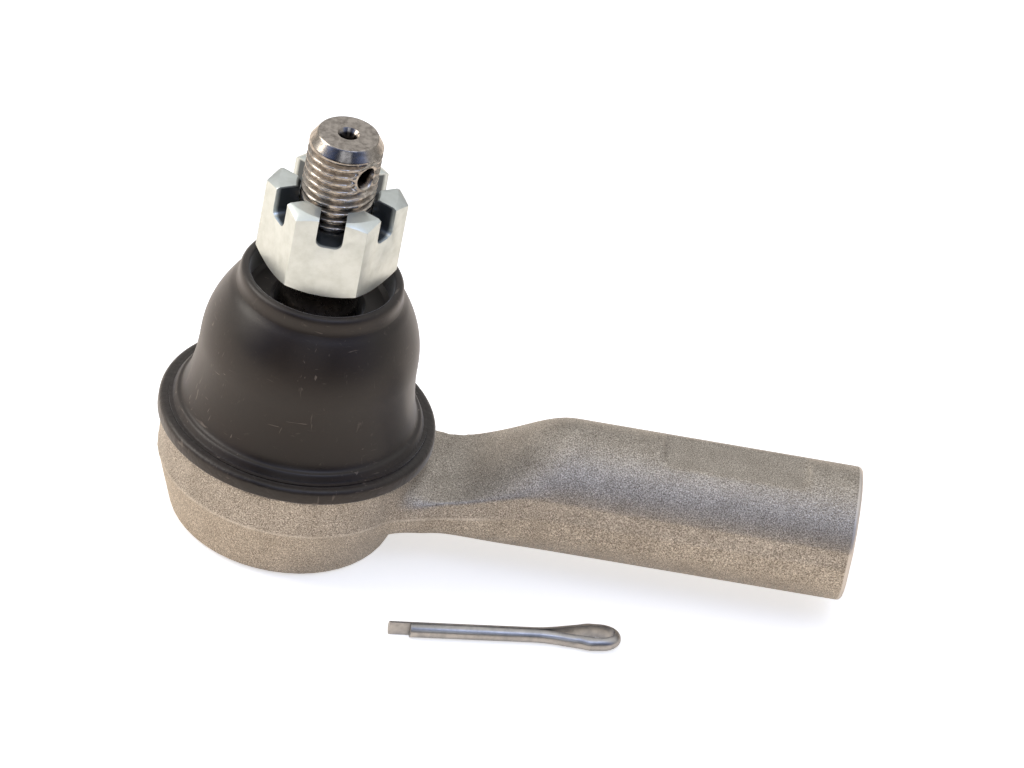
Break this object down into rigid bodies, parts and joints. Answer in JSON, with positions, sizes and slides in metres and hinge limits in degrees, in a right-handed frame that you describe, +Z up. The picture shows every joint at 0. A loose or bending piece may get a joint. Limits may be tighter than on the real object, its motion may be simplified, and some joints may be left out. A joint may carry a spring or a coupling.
{
  "type": "tie rod end",
  "caption": "Outer steering tie rod end: forged socket with a tapped shank, preloaded ball stud under a rubber boot, castle nut and a loose split pin",
  "frame": {"origin": "Centre of the closing cover's flat outer face, on the ball stud's axis at rest", "axes": "+Z runs up the stud, +X runs along the shank to its open end, +Y completes the right-handed frame"},
  "size_m": [0.1136, 0.0512, 0.074],
  "materials": {
    "forged_steel": "shot-blasted forged steel",
    "stud_steel": "turned and rolled steel",
    "nut_zinc": "bright zinc plate",
    "pin_steel": "zinc-plated soft steel wire",
    "boot_rubber": "satin moulded rubber",
    "ring_steel": "pressed steel",
    "wire_steel": "drawn wire",
    "seat_polymer": "acetal",
    "spring_steel": "blued spring steel",
    "cover_steel": "pressed steel"
  },
  "bodies": {
    "socket": {"socket_housing": "forged_steel", "upper_bearing": "seat_polymer", "lower_bearing": "seat_polymer", "preload_spring": "spring_steel", "end_cover": "cover_steel", "boot_base_ring": "ring_steel"},
    "boot": {"dust_boot": "boot_rubber"},
    "boot_neck": {"boot_neck_ring": "wire_steel"},
    "stud": {"ball_stud": "stud_steel"},
    "nut": {"castle_nut": "nut_zinc"},
    "pin": {"cotter_pin": "pin_steel"}
  },
  "joints": [
    {"name": "stud_swing_lengthwise", "type": "hinge", "parent": "socket", "child": "boot", "pos_m": [0, 0, 0.016], "axis": [0, 1, 0], "range_deg": [-18, 18], "deforming": ["dust_boot"]},
    {"name": "stud_swing_sideways", "type": "hinge", "parent": "boot", "child": "boot_neck", "pos_m": [0, 0, 0.016], "axis": [1, 0, 0], "range_deg": [-18, 18], "deforming": ["dust_boot"]},
    {"name": "stud_spin", "type": "hinge", "parent": "boot_neck", "child": "stud", "pos_m": [0, 0, 0.016], "axis": [0, 0, 1], "continuous": true},
    {"name": "nut_turn", "type": "hinge", "parent": "stud", "child": "nut", "pos_m": [0, 0, 0.0564], "axis": [0, 0, 1], "continuous": true},
    {"name": "cotter_pin_lift", "type": "slide", "parent": "socket", "child": "pin", "axis": [0, 0, 1], "range_m": [0, 0.06]}
  ]
}
